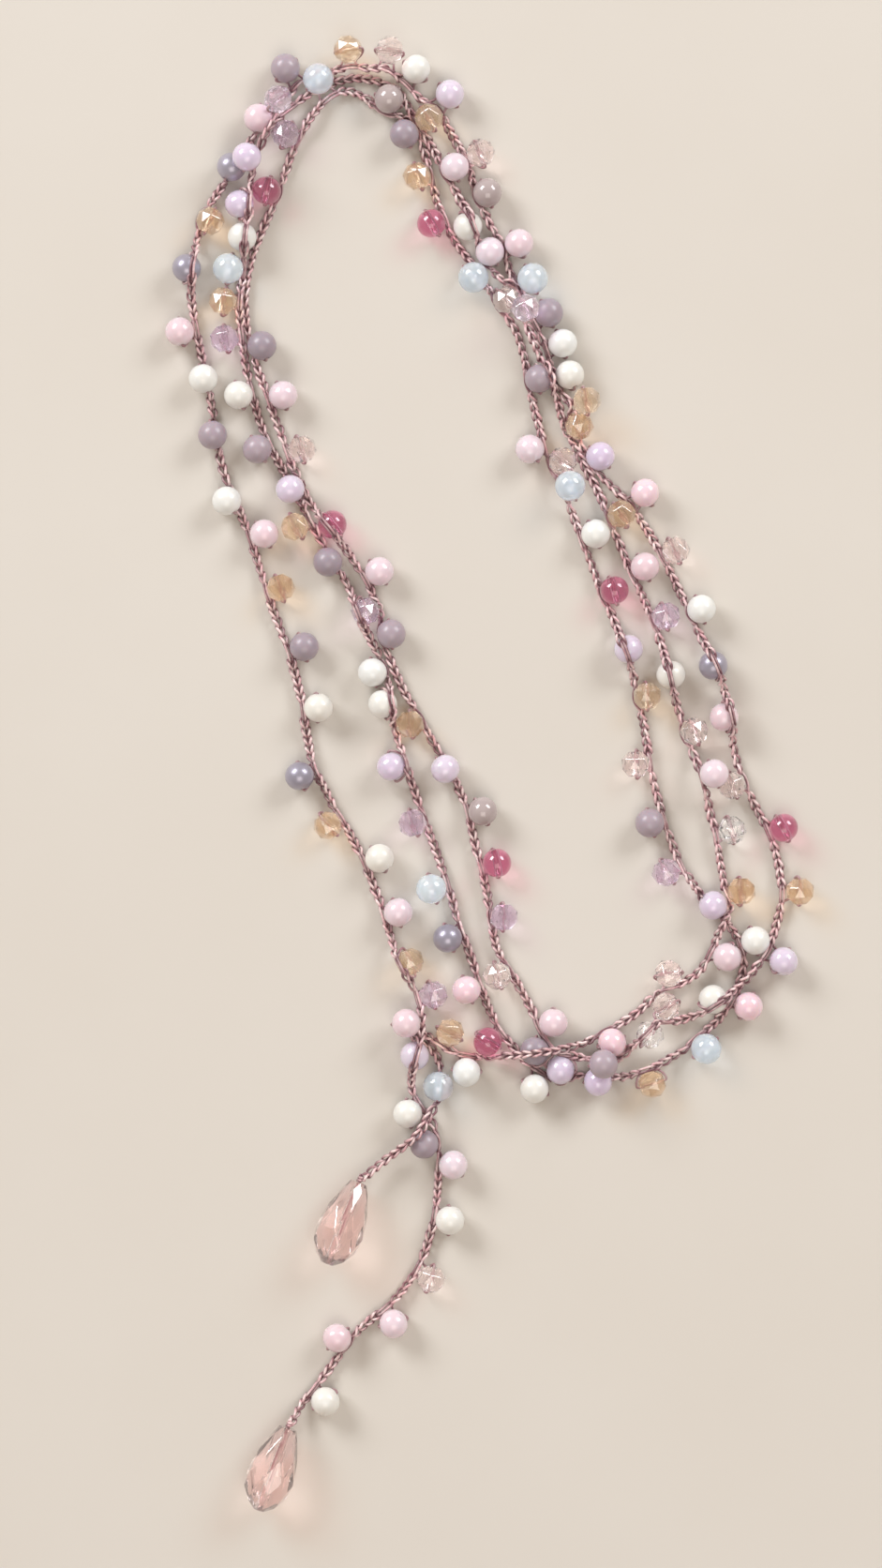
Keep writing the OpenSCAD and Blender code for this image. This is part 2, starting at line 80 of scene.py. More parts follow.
THREADING = {
    "tail_long": [
        ("drop", -46.5, -147.5, 0, 70), ("cream", -35.5, -133.5, 0, 35), ("chain", -34.5, -127, 0),
        ("pink", -33, -120, 0, 45), ("pink", -21, -117, 0, 15), ("rose", -13, -107.5, 0, 75),
        ("cream", -9, -95, 0, 90), ("pink", -8.3, -83.2, 0, 138), ("grey", -14.5, -78.8, 0, 138),
        ("cream", -18, -72.3, 0, 98, "under"), ("chain", -18, -67.3, 0.5),
    ],
    "left_outer": [
        ("chain", -17.9, -66.8, 0.5), ("lavender", -16.5, -60, 0, "over"), ("chain", -14.5, -53, 1.5),
        ("lilac", -12.5, -47, 0), ("champagne", -17.5, -40, 0, "over"), ("pink", -20, -29.5, 0),
        ("cream", -24, -18, 0), ("chain", -29.5, -14.5, 0), ("champagne", -35, -11, 0), ("steel", -41, -0.5, 0),
        ("chain", -39.5, 6.5, 0), ("cream", -37, 14, 0), ("grey", -40, 27, 0), ("champagne", -45, 39.5, 0),
        ("pink", -48.5, 51, 0), ("cream", -56.5, 58, 0, "under"), ("chain", -57.5, 65, 0),
        ("grey", -59.5, 72, 0, "under"), ("cream", -61.5, 84, 0, "under"), ("pink", -66.5, 94, 0),
        ("chain", -64.5, 100.5, 0), ("steel", -65, 107.5, 0, "over"), ("champagne", -60, 117.5, 0),
        ("steel", -55.5, 129, 0, "under"), ("chain", -52, 134.5, 0), ("pink", -49.8, 139.4, 0, 85, "under"),
        ("grey", -44, 150, 0), ("chain", -38, 152, 0), ("champagne", -30.7, 153.8, 1.5),
        ("chain", -26.7, 153.4, 3.4),
    ],
    "right_outer": [
        ("chain", -26.2, 153.4, 3.6), ("rose", -21.8, 153.5, 2.2, 352), ("cream", -16.2, 149.8, 0, 320),
        ("lavender", -9, 144.5, 0), ("chain", -7, 137.5, 0), ("rose", -2.5, 132, 0), ("taupe", -1, 123.5, 0),
        ("pink", 5.7, 112.8, 0), ("blue", 8.6, 105.3, 0), ("grey", 12, 98, 0), ("cream", 15, 91.5, 0),
        ("cream", 16.5, 84.8, 0), ("champagne", 20, 79, 3.7), ("champagne", 18.5, 74, 0, "under"),
        ("lavender", 23, 67.5, 0, "under"), ("coral", 32.5, 59.7, 0), ("rose", 39, 47.5, 0), ("cream", 44.5, 35, 0),
        ("steel", 47, 23, 0, "over"), ("pink", 49.3, 12, 0, "over"), ("rose", 51, -2.5, 0), ("chain", 56, -7.5, 0),
        ("raspberry", 62, -11.5, 0), ("champagne", 65.5, -25, 0), ("chain", 63, -32.5, 0),
        ("lavender", 62, -39.9, 0), ("chain", 56, -43.2, 3), ("chain", 53.5, -44.9, 2.2),
    ],
    "left_inner_low": [
        ("chain", 53.1, -45.2, 2.1), ("chain", 51, -46.6, 1.4), ("cream", 47, -48, 0, "over"),
        ("rose", 37, -49.5, 0), ("clear", 33.5, -55.5, 0, "over"), ("chain", 29.5, -60.5, 2.5),
        ("grey", 23.5, -61.5, 4.9, "under"), ("lavender", 14.5, -63, 0, 170, "over"), ("grey", 9, -59, 0, 85),
        ("pink", 13, -53, 0, 80), ("chain", 7.5, -48, 0), ("rose", 1, -43, 0), ("lilac", 2.5, -30.5, 0),
        ("raspberry", 1, -19, 0), ("taupe", -2, -8, 0), ("lavender", -10, 1, 0, "under"),
        ("champagne", -17.5, 10.5, 0, 95), ("chain", -19, 17, 0), ("chain", -20.8, 22.6, 0.5),
    ],
    "left_inner": [
        ("chain", -20.9, 23.1, 0.6), ("grey", -21.5, 29.7, 0, 98), ("chain", -22.3, 36.5, 0), ("pink", -24, 43, 0),
        ("raspberry", -34, 53, 0, "over"), ("chain", -38.5, 60, 0), ("rose", -40.5, 69, 0), ("pink", -44.5, 80.5, 0),
        ("grey", -49, 91, 0, "under"), ("chain", -51, 97.5, 0), ("chain", -51.5, 105, 0), ("chain", -49, 112, 0),
        ("raspberry", -48, 124, 0), ("lilac", -44, 136, 0), ("chain", -40.5, 140.5, 1.5),
        ("blue", -37, 147.5, 1.6, 40, "under"), ("chain", -31.8, 146, 0), ("chain", -29.3, 145.5, 0),
    ],
    "right_inner": [
        ("chain", -28.8, 145.4, 0), ("taupe", -22, 143.5, 0, 335), ("grey", -18.7, 136, 0),
        ("champagne", -16, 127, 0), ("raspberry", -13, 117, 0), ("blue", -4, 105.5, 0, "under"),
        ("rose", 3, 100.8, 0), ("chain", 5.5, 94.5, 0), ("chain", 7.5, 89.5, 0), ("grey", 10, 84, 0),
        ("chain", 9.5, 76.5, 0), ("pink", 8, 69, 0), ("rose", 15, 66.5, 0), ("blue", 16.5, 61, 3),
        ("cream", 22, 51, 0), ("raspberry", 26, 39, 0), ("lavender", 29, 26.5, 0, "over"),
        ("champagne", 33, 16.5, 0), ("rose", 30.5, 2, 0), ("grey", 33.5, -10.5, 0), ("lilac", 37, -21, 0),
        ("chain", 41.8, -24.4, 1.8),
    ],
    "left_middle_low": [
        ("chain", 42.2, -24.7, 1.8), ("lavender", 47, -28, 0, "under"), ("chain", 50.8, -31.3, 0.2),
        ("cream", 56, -35.5, 0, 285), ("chain", 54.8, -41.8, 0), ("coral", 54.5, -49.5, 0), ("blue", 45.5, -58.5, 0),
        ("champagne", 34, -66, 0, "over"), ("lavender", 22.5, -65.5, 0, "under"), ("chain", 17, -68, 0),
        ("cream", 9, -67, 0, "under"), ("chain", 5, -61, 0), ("raspberry", -1, -57, 0, 150),
        ("coral", -5.5, -46, 0, "under"), ("steel", -9.5, -35, 0), ("blue", -13, -24.5, 0), ("lilac", -17, -10.5, 0),
        ("lavender", -21.5, 1.5, 0, "over"), ("cream", -23.3, 14.8, 0, 100, "over"), ("cream", -25.5, 21.5, 0, 100),
        ("chain", -26.3, 27.8, 2),
    ],
    "left_middle": [
        ("chain", -26.4, 28.3, 2), ("lilac", -27, 34.5, 0, 105, "over"), ("grey", -35, 45, 0, "under"),
        ("champagne", -42, 52.5, 0), ("lavender", -43, 60.5, 0, "under"), ("grey", -50, 69, 0, "under"),
        ("cream", -54, 80.5, 0, "under"), ("lilac", -57, 92.5, 0), ("champagne", -57.3, 100.5, 0, 81),
        ("blue", -56.2, 107.4, 0, 78), ("cream", -53.2, 114.1, 0, 86, "over"),
        ("lavender", -53.8, 121.1, 0, 87, "over"), ("lavender", -52, 130.5, 5.2, "under"),
        ("chain", -49.5, 136.5, 6), ("lilac", -45.5, 143, 2.9, "under"),
        ("chain", -40, 145, 1), ("chain", -35, 147.2, 0), ("chain", -31, 148.6, 0),
    ],
    "right_middle": [
        ("chain", -30.5, 148.7, 0), ("chain", -25, 148.8, 0), ("chain", -19.9, 147.2, 0),
        ("champagne", -13.5, 139.5, 0), ("pink", -8, 129, 0), ("cream", -5.2, 116.4, 0, 305, "over"),
        ("pink", -0.5, 111, 0, 305, "under"), ("chain", 3, 105.5, 4), ("lilac", 7, 98.5, 5, "under"),
        ("chain", 10, 92, 4), ("chain", 13.2, 84.5, 4.6), ("chain", 14, 78.5, 1.5), ("chain", 15.5, 72.5, 0),
        ("chain", 19.2, 67, 0), ("chain", 21.8, 61.5, 0), ("champagne", 27.5, 55.2, 0), ("pink", 32.5, 44, 0),
        ("lilac", 37, 33.5, 0), ("cream", 38, 21, 0, "over"), ("rose", 43, 9, 0), ("pink", 47, 0, 4.3),
        ("clear", 51, -12, 0), ("champagne", 53, -25, 0), ("chain", 51.7, -31.8, 3.3), ("pink", 50, -39, 0),
        ("chain", 45.3, -43, 1.2),
    ],
    "hook": [
        ("chain", 44.8, -42.9, 1.2), ("rose", 37.5, -42.5, 0, 190), ("chain", 34.5, -47.5, 0), ("chain", 30, -53, 0),
        ("coral", 25.5, -57.2, 0), ("chain", 20, -57, 2), ("chain", 13.5, -58.5, 5), ("chain", 9, -59.5, 6.6),
        ("chain", 4.5, -59.5, 5), ("chain", 1.5, -61.5, 1.5), ("cream", -5.5, -63.5, 0, 175),
        ("chain", -8.6, -60, 0.8), ("champagne", -9, -55, 1, 152), ("pink", -18.3, -53, 1.9, 180, "under"),
        ("chain", -22.6, -54.6, 2.4),
    ],
    "tail_short": [
        ("chain", -22.9, -55.1, 2), ("chain", -22.9, -57, 0.6), ("chain", -20.5, -58.2, 0), ("chain", -17.5, -57, 0),
        ("chain", -13, -58, 0), ("chain", -11.5, -61.5, 0), ("blue", -11.5, -66.5, 0, "under"),
        ("chain", -12, -71, 2.5), ("chain", -13.5, -74.5, 5), ("chain", -16, -77.5, 6.1), ("chain", -19.5, -80, 4),
        ("chain", -23.5, -82.3, 2.8), ("chain", -27.6, -85, 3.2), ("drop", -31.7, -95.4, 0),
    ],
}


def rest_height(kind):
    """Height in millimetres at which a bead, a drop or the chain has its middle when it lies on the table."""
    return {"chain": CHAIN_RADIUS, "drop": DROP_RADIUS}.get(kind) or BEAD_RADIUS[kind]


threaded = []
for stretch, rows in THREADING.items():
    places = [Vector((x + TO_MIDDLE[0], y + TO_MIDDLE[1], lift + rest_height(kind))) for kind, x, y, lift, *_ in rows]
    for number, (kind, _, _, lift, *known) in enumerate(rows):
        turned = [word for word in known if not isinstance(word, str)]
        lies = [word for word in known if isinstance(word, str)]
        if turned:
            heading = Vector((math.cos(math.radians(turned[0])), math.sin(math.radians(turned[0])), 0))
        else:
            heading = places[min(number + 1, len(rows) - 1)] - places[max(number - 1, 0)]
        threaded.append({
            "stretch": stretch, "kind": kind, "place": places[number], "lift": lift,
            "heading": heading.normalized(), "lies": lies[0] if lies else "beside",
        })

# The way of the crocheted chain, followed in the photograph from the long tail's drop to the short one's. The
# chain passes beside, over or under its beads, and only its working thread goes through them.
CHAIN_PX = {
    "tail_long": [
        (309, 1518), (316, 1509), (318, 1499), (324, 1489), (338, 1476), (352, 1462), (360, 1446), (367, 1436),
        (374, 1426), (381, 1414), (394, 1408), (406, 1397), (424, 1389), (428, 1378), (441, 1360), (448, 1350),
        (456, 1330), (460, 1318), (462, 1301), (466, 1290), (469, 1272), (466, 1250), (466, 1240), (471, 1225),
        (471, 1210), (460, 1196), (454, 1184), (439, 1170),
    ],
    "left_outer": [
        (437, 1162), (436, 1152), (440, 1139), (445, 1122), (450, 1101), (454, 1090), (448, 1070), (445, 1053),
        (436, 1039), (425, 1026), (418, 1007), (413, 987), (408, 968), (402, 952), (395, 934), (388, 919), (382, 903),
        (372, 885), (357, 863), (351, 852), (345, 836), (337, 822), (330, 805), (327, 786), (324, 761), (322, 740),
        (316, 718), (308, 699), (301, 675), (290, 649), (285, 633), (279, 612), (274, 592), (266, 570), (259, 552),
        (255, 541), (243, 518), (236, 498), (232, 481), (228, 444), (225, 420), (216, 388), (213, 365), (208, 346),
        (203, 331), (202, 303), (207, 275), (211, 256), (214, 235), (223, 221), (233, 208), (238, 194), (248, 182),
        (264, 154), (274, 138), (285, 125), (308, 102), (321, 89), (345, 76), (365, 74), (380, 74), (394, 75),
    ],
    "right_outer": [
        (410, 79), (426, 82), (432, 91), (440, 100), (449, 108), (460, 118), (473, 129), (484, 143), (490, 158),
        (499, 173), (505, 193), (507, 209), (516, 224), (522, 240), (532, 254), (541, 282), (546, 299), (552, 318),
        (560, 333), (572, 350), (583, 360), (578, 372), (587, 387), (590, 404), (601, 420), (607, 441), (614, 459),
        (624, 475), (624, 495), (636, 505), (647, 514), (662, 527), (681, 551), (692, 566), (699, 583), (712, 601),
        (719, 619), (728, 638), (738, 654), (743, 670), (750, 687), (761, 704), (768, 721), (773, 738), (778, 757),
        (780, 780), (780, 802), (787, 817), (792, 837), (802, 853), (812, 871), (818, 884), (831, 900), (831, 930),
        (836, 953), (834, 973), (829, 995), (817, 1015), (805, 1031), (798, 1043), (790, 1050),
    ],
    "left_inner_low": [
        (780, 1057), (768, 1062), (757, 1076), (746, 1079), (732, 1089), (718, 1092), (704, 1089), (697, 1084),
        (695, 1092), (690, 1106), (683, 1113), (668, 1115), (654, 1125), (643, 1131), (630, 1131), (610, 1123),
        (590, 1125), (582, 1122), (579, 1106), (572, 1090), (569, 1072), (558, 1060), (550, 1045), (540, 1030),
        (530, 1021), (526, 1004), (524, 986), (523, 967), (519, 950), (514, 930), (510, 910), (503, 887), (500, 870),
        (495, 849), (488, 831), (469, 802), (459, 786), (451, 773), (437, 750), (429, 733), (420, 718),
    ],
    "left_inner": [
        (417, 705), (413, 693), (408, 673), (406, 654), (401, 636), (392, 620), (382, 604), (368, 585), (361, 574),
        (343, 549), (332, 539), (326, 532), (317, 516), (314, 502), (307, 483), (300, 464), (294, 449), (287, 433),
        (284, 416), (276, 400), (271, 383), (268, 360), (260, 344), (259, 335), (262, 315), (263, 296), (269, 275),
        (274, 256), (282, 240), (291, 225), (299, 198), (305, 180), (312, 161), (321, 144), (327, 131), (338, 116),
        (350, 102), (362, 95), (372, 95), (380, 98),
    ],
    "right_inner": [
        (392, 104), (401, 116), (414, 124), (427, 122), (437, 127), (444, 136), (449, 148), (452, 163), (459, 177),
        (460, 197), (465, 216), (471, 228), (478, 248), (489, 264), (499, 277), (511, 291), (521, 305), (529, 320),
        (543, 337), (554, 355), (556, 373), (562, 388), (563, 404), (568, 421), (570, 440), (576, 457), (580, 476),
        (586, 495), (592, 512), (602, 526), (612, 544), (616, 564), (622, 583), (630, 600), (637, 618), (642, 635),
        (650, 650), (658, 666), (663, 684), (672, 706), (678, 727), (682, 746), (687, 765), (690, 787), (691, 806),
        (693, 825), (700, 844), (705, 862), (708, 882), (716, 898), (723, 918), (732, 937), (740, 945),
    ],
    "left_middle_low": [
        (748, 955), (760, 966), (773, 979), (786, 995), (793, 1009), (796, 1020), (796, 1031), (791, 1043),
        (786, 1054), (782, 1066), (776, 1081), (762, 1090), (753, 1100), (743, 1109), (732, 1120), (718, 1127),
        (700, 1134), (690, 1142), (674, 1149), (657, 1150), (641, 1150), (626, 1147), (612, 1144), (595, 1146),
        (583, 1146), (568, 1144), (562, 1136), (552, 1119), (540, 1107), (527, 1094), (523, 1079), (518, 1062),
        (509, 1043), (502, 1021), (499, 1003), (488, 985), (484, 967), (480, 948), (473, 933), (468, 914), (458, 892),
        (454, 874), (447, 858), (442, 842), (435, 823), (428, 802), (423, 784), (418, 767), (415, 746), (416, 725),
        (409, 706), (400, 692),
    ],
    "left_middle": [
        (393, 680), (388, 666), (381, 647), (375, 628), (363, 609), (344, 583), (337, 570), (331, 554), (322, 537),
        (312, 520), (302, 502), (291, 484), (281, 463), (275, 445), (271, 426), (264, 405), (261, 389), (259, 368),
        (256, 350), (255, 331), (257, 310), (262, 283), (260, 262), (262, 246), (265, 231), (266, 208), (269, 191),
        (271, 173), (277, 157), (286, 143), (292, 130), (302, 120), (314, 113), (328, 104), (341, 92), (355, 84),
        (371, 84),
    ],
    "right_middle": [
        (384, 83), (397, 84), (410, 88), (422, 94), (431, 105), (437, 120), (447, 134), (460, 153), (467, 168),
        (478, 191), (488, 205), (496, 222), (502, 240), (507, 256), (519, 272), (525, 287), (532, 301), (541, 316),
        (551, 328), (560, 342), (566, 356), (570, 368), (574, 382), (579, 396), (584, 410), (592, 420), (597, 434),
        (600, 448), (606, 460), (612, 472), (617, 486), (624, 500), (634, 512), (642, 533), (648, 550), (656, 568),
        (664, 588), (668, 603), (678, 619), (684, 635), (693, 652), (701, 667), (705, 685), (710, 704), (714, 720),
        (718, 739), (723, 758), (730, 776), (740, 795), (743, 815), (749, 832), (755, 853), (759, 874), (764, 896),
        (768, 917), (770, 939), (776, 958), (777, 972), (771, 986), (764, 998), (761, 1011), (756, 1023), (750, 1037),
    ],
    "hook": [
        (736, 1046), (721, 1054), (706, 1053), (698, 1058), (691, 1073), (681, 1080), (665, 1090), (650, 1100),
        (639, 1105), (630, 1110), (612, 1117), (590, 1119), (574, 1121), (560, 1122), (547, 1125), (535, 1124),
        (525, 1127), (514, 1124), (497, 1126), (482, 1128), (473, 1115), (459, 1106), (450, 1100), (441, 1094),
        (432, 1093), (427, 1098),
    ],
    "tail_short": [
        (431, 1104), (441, 1106), (450, 1107), (458, 1111), (465, 1118), (469, 1128), (470, 1140), (470, 1156),
        (468, 1171), (463, 1181), (456, 1190), (451, 1202), (446, 1210), (435, 1219), (425, 1225), (407, 1238),
        (395, 1249), (387, 1256),
    ],
}
STEP = 0.8
SLIM = 0.38
LOOP_ROOM = 0.35
RISE_REACH = 7.0
RISE_BESIDE, LIFT_SHARE = 1.0, 0.6
FAR_ASIDE, FURTHEST_ASIDE = 3.2, 3.5
LOOP_OVER = 1.6
LOOP_SLACK, ASIDE_SHARE = 0.25, 0.45
CLOSE_TO_BEAD, CLOSE_TO_ITSELF, STEPS_BETWEEN = 7, 4.5, 7
OFF_TABLE = 0.02
# how strongly each rule moves the thread in one turn of its settling
SETTLING_TURNS = 90
EVENING_OUT = 0.22
KEEP_COURSE, KEEP_HEIGHT = 0.12, 0.2
DRAW_TO_BEAD, OFF_BEAD, OFF_ITSELF = 0.25, 0.9, 0.4
FACING_AFTER, FACING_WEIGHT = 70, 20

# evenly spaced points along the whole thread, and the stretch that each belongs to
corners, corner_stretch = [], []
for stretch, pixels in CHAIN_PX.items():
    for pixel in pixels:
        corners.append([c / MM for c in on_table(*pixel)])
        corner_stretch.append(stretch)
corners = np.array(corners)
for _ in range(2):
    corners[1:-1] = 0.25 * corners[:-2] + 0.5 * corners[1:-1] + 0.25 * corners[2:]
gone = np.concatenate([[0], np.cumsum(np.linalg.norm(np.diff(corners, axis=0), axis=1))])
along = np.linspace(0, gone[-1], int(gone[-1] / STEP) + 1)
course = np.column_stack([np.interp(along, gone, corners[:, axis]) for axis in (0, 1)])
order = list(CHAIN_PX)
corner_before = np.searchsorted(gone, along, side="right").clip(1, len(gone)) - 1
stretch_of = np.array([order.index(s) for s in corner_stretch])[corner_before]

# the stations find their point of the chain, and give it its height: over, under or beside the bead
beads = [s for s in threaded if s["kind"] not in ("chain", "drop")]
height = np.full(len(along), CHAIN_RADIUS)
slim = np.zeros(len(along), bool)
up = np.tile([0.0, 0.0, 1.0], (len(along), 1))
for station in threaded:
    steps_off = abs(stretch_of - order.index(station["stretch"]))
    own = np.flatnonzero(steps_off <= (1 if station["kind"] == "chain" else 0))
    place = np.array(station["place"])
    if station["kind"] == "drop":
        way = 1 if station["stretch"] == "tail_long" else -1
        place = place + np.array(station["heading"]) * DROP_LENGTH / 2 * way
    reach = np.linalg.norm(course[own] - place[:2], axis=1)
    nearest = own[reach.argmin()]
    station["at"] = nearest
    station["aside"] = min(FURTHEST_ASIDE, reach.min())
    if station["kind"] == "chain":
        ride = CHAIN_RADIUS + station["lift"]
    elif station["kind"] == "drop":
        ride = place[2]
    elif station["lies"] == "over":
        room = BEAD_RADIUS[station["kind"]] + LOOP_ROOM
        ride = place[2] + math.sqrt(max(1, room**2 - reach.min() ** 2))
    else:
        ride = CHAIN_RADIUS + station["lift"] * LIFT_SHARE + (RISE_BESIDE if station["lies"] == "beside" else 0)
    away = abs(along - along[nearest]) / RISE_REACH
    height = np.maximum(height, CHAIN_RADIUS + (ride - CHAIN_RADIUS) * np.cos(np.clip(away, 0, 1) * math.pi / 2) ** 2)

# each bead's share of the chain, where it thins to a loose loop; neighbours on the thread halve what they share
for bead in beads:
    half = BEAD_RADIUS[bead["kind"]] + LOOP_SLACK - ASIDE_SHARE * bead["aside"]
    if bead["lies"] == "over":
        half = LOOP_OVER
    bead["from"], bead["to"] = along[bead["at"]] - half, along[bead["at"]] + half
in_order = sorted(beads, key=lambda bead: along[bead["at"]])
for first, second in zip(in_order, in_order[1:]):
    if first["to"] > second["from"]:
        first["to"] = second["from"] = (first["to"] + second["from"]) / 2
for bead in beads:
    slim |= (along > bead["from"]) & (along < bead["to"])

# the thread settles: it stays on its course, keeps out of beads and of itself, and lies no lower than the table
chain = np.column_stack([course, height])
thick = np.where(slim, SLIM, CHAIN_RADIUS)
bead_places = np.array([bead["place"] for bead in beads])
bead_rooms = np.array([BEAD_RADIUS[bead["kind"]] for bead in beads])
far_apart = np.linalg.norm(course[:, None] - bead_places[None, :, :2], axis=2)
near_bead = np.argwhere(far_apart < CLOSE_TO_BEAD)
between = np.linalg.norm(course[:, None] - course[None], axis=2)
near_self = np.argwhere(np.triu(between < CLOSE_TO_ITSELF, STEPS_BETWEEN))
beside = [number for number, bead in enumerate(beads) if bead["lies"] == "beside" and bead["aside"] > FAR_ASIDE]
carriers = np.array([beads[number]["at"] for number in beside])
for turn in range(SETTLING_TURNS):
    chain[1:-1] += EVENING_OUT * (chain[:-2] + chain[2:] - 2 * chain[1:-1])
    away = bead_places[beside] - chain[carriers]
    gap = np.linalg.norm(away, axis=1) - bead_rooms[beside] - CHAIN_RADIUS
    pull = away * (np.clip(gap, 0, 1) * DRAW_TO_BEAD)[:, None] / np.linalg.norm(away, axis=1)[:, None]
    for nearby in (-2, -1, 0, 1, 2):
        np.add.at(chain, np.clip(carriers + nearby, 1, len(chain) - 2), pull)
    chain[:, :2] += KEEP_COURSE * (course - chain[:, :2])
    chain[:, 2] += KEEP_HEIGHT * (height - chain[:, 2])
    for pairs, others, rooms in ((near_bead, bead_places, bead_rooms), (near_self, chain, thick)):
        mine, theirs = pairs[:, 0], pairs[:, 1]
        apart = chain[mine] - others[theirs]
        distance = np.linalg.norm(apart, axis=1)
        lack = thick[mine] + rooms[theirs] - distance
        tight = lack > 0
        push = apart[tight] / np.maximum(distance[tight], 1e-6)[:, None] * lack[tight][:, None]
        if others is chain:
            np.add.at(chain, mine[tight], OFF_ITSELF * push)
            np.add.at(chain, theirs[tight], -OFF_ITSELF * push)
        else:
            np.add.at(chain, mine[tight], OFF_BEAD * push)
            if turn > FACING_AFTER:
                np.add.at(up, mine[tight], push * FACING_WEIGHT)
    chain[:, 2] = np.maximum(chain[:, 2], thick + OFF_TABLE)
for _ in range(4):
    up[1:-1] = up[:-2] + up[1:-1] + up[2:]
    up /= np.linalg.norm(up, axis=1)[:, None]


def thread_at(length):
    """Place on the settled chain at a length of the drawn course, in millimetres."""
    return Vector([float(np.interp(length, along, chain[:, axis])) for axis in range(3)])


def rise_at(length):
    """Which way the chain's face looks at a length of the drawn course."""
    return Vector([float(np.interp(length, along, up[:, axis])) for axis in range(3)]).normalized()


# Round beads. Lampwork and pressed glass balls about 6 mm across, each drilled through and softened at the
# hole's lips by the tumbling; one piece a colour, because beads of a colour come off one string.
HOLE_RADIUS = 0.6 * MM
LIP = 0.13 * MM
ARC_STEPS = 17
TURN_STEPS = 36


def drilled_ball(radius):
    """A glass ball with a rounded hole along Z: its outline is swung up, closed by the hole's wall and spun."""
    ball = bmesh.new()
    brim_angle = math.asin(HOLE_RADIUS / radius)
    brim = ball.verts.new((HOLE_RADIUS, 0, radius * math.cos(brim_angle)))
    bmesh.ops.spin(
        ball, geom=[brim], cent=(0, 0, 0), axis=(0, 1, 0), dvec=(0, 0, 0),
        angle=math.pi - 2 * brim_angle, steps=ARC_STEPS, use_merge=False, use_duplicate=False,
    )
    foot = min(ball.verts, key=lambda v: v.co.z)
    ball.edges.new((brim, foot))
    bmesh.ops.spin(
        ball, geom=ball.verts[:] + ball.edges[:], cent=(0, 0, 0), axis=(0, 0, 1), dvec=(0, 0, 0),
        angle=2 * math.pi, steps=TURN_STEPS, use_merge=True, use_duplicate=False,
    )
    bmesh.ops.remove_doubles(ball, verts=ball.verts, dist=1e-7)
    bmesh.ops.recalc_face_normals(ball, faces=ball.faces)
    lips = [
        e for e in ball.edges
        if all(v.co.xy.length < HOLE_RADIUS * 1.01 for v in e.verts) and abs(e.verts[0].co.z - e.verts[1].co.z) < 1e-6
    ]
    bmesh.ops.bevel(
        ball, geom=lips, offset=LIP, offset_type="OFFSET", segments=2, profile=0.5, affect="EDGES", material=-1,
    )
    for face in ball.faces:
        face.smooth = True
    shape = bpy.data.meshes.new("bead_blank")
    ball.to_mesh(shape)
    ball.free()
    return shape


def aimed(place, heading):
    """Stands a bead made along Z on its place, in millimetres, with its hole along the heading."""
    tilt = math.acos(max(-1, min(1, heading.z)))
    return (
        Matrix.Translation(place * MM)
        @ Matrix.Rotation(math.atan2(heading.y, heading.x), 4, "Z")
        @ Matrix.Rotation(tilt, 4, "Y")
    )


def string_up(name, blank, stations, seed, squash=0.0):
    """One piece of all the beads made from a blank. Each bead keeps its own small tone and oblateness."""
    luck = random.Random(seed)
    string = bmesh.new()
    tone = string.verts.layers.float.new("tone")
    for station in stations:
        start = len(string.verts)
        string.from_mesh(blank)
        fresh = string.verts[start:]
        turned = Matrix.Rotation(luck.uniform(-0.4, 0.4), 4, "Z")
        flat = turned @ Matrix.Diagonal((1, 1, 1 - squash * luck.random(), 1))
        bmesh.ops.transform(string, matrix=aimed(station["place"], station["heading"]) @ flat, verts=fresh)
        own_tone = luck.random()
        for vert in fresh:
            vert[tone] = own_tone
    shape = bpy.data.meshes.new(name)
    string.to_mesh(shape)
    string.free()
    piece = bpy.data.objects.new(name, shape)
    bpy.context.scene.collection.objects.link(piece)
    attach(piece, "root")
    return piece


def new_finish(name, **sockets):
    """A material whose shader has the given sockets set. An underscore stands for a space in a socket's name."""
    finish = bpy.data.materials.new(name)
    finish.use_nodes = True
    for socket, value in sockets.items():
        finish.node_tree.nodes["Principled BSDF"].inputs[socket.replace("_", " ")].default_value = value
    return finish


def grain(tree, scale, detail, distortion=0.0):
    """Noise that is fixed to the piece itself."""
    spot = tree.nodes.new("ShaderNodeTexCoord")
    noise = tree.nodes.new("ShaderNodeTexNoise")
    noise.inputs["Scale"].default_value = scale
    noise.inputs["Detail"].default_value = detail
    noise.inputs["Distortion"].default_value = distortion
    tree.links.new(spot.outputs["Object"], noise.inputs["Vector"])
    return noise.outputs["Fac"]


def two_tones(tree, share, first, second):
    """A mix of two colours, each given as numbers or as a node's output, by the share that a node gives."""
    mix = tree.nodes.new("ShaderNodeMix")
    mix.data_type = "RGBA"
    for socket, tone in (("A", first), ("B", second)):
        if isinstance(tone, tuple):
            mix.inputs[socket].default_value = (*tone, 1)
        else:
            tree.links.new(tone, mix.inputs[socket])
    tree.links.new(share, mix.inputs["Factor"])
    return mix.outputs["Result"]


def relieve(tree, height, strength, depth):
    """Gives the tree's shader a fine relief."""
    relief = tree.nodes.new("ShaderNodeBump")
    relief.inputs["Strength"].default_value = strength
    relief.inputs["Distance"].default_value = depth
    tree.links.new(height, relief.inputs["Height"])
    tree.links.new(relief.outputs["Normal"], tree.nodes["Principled BSDF"].inputs["Normal"])


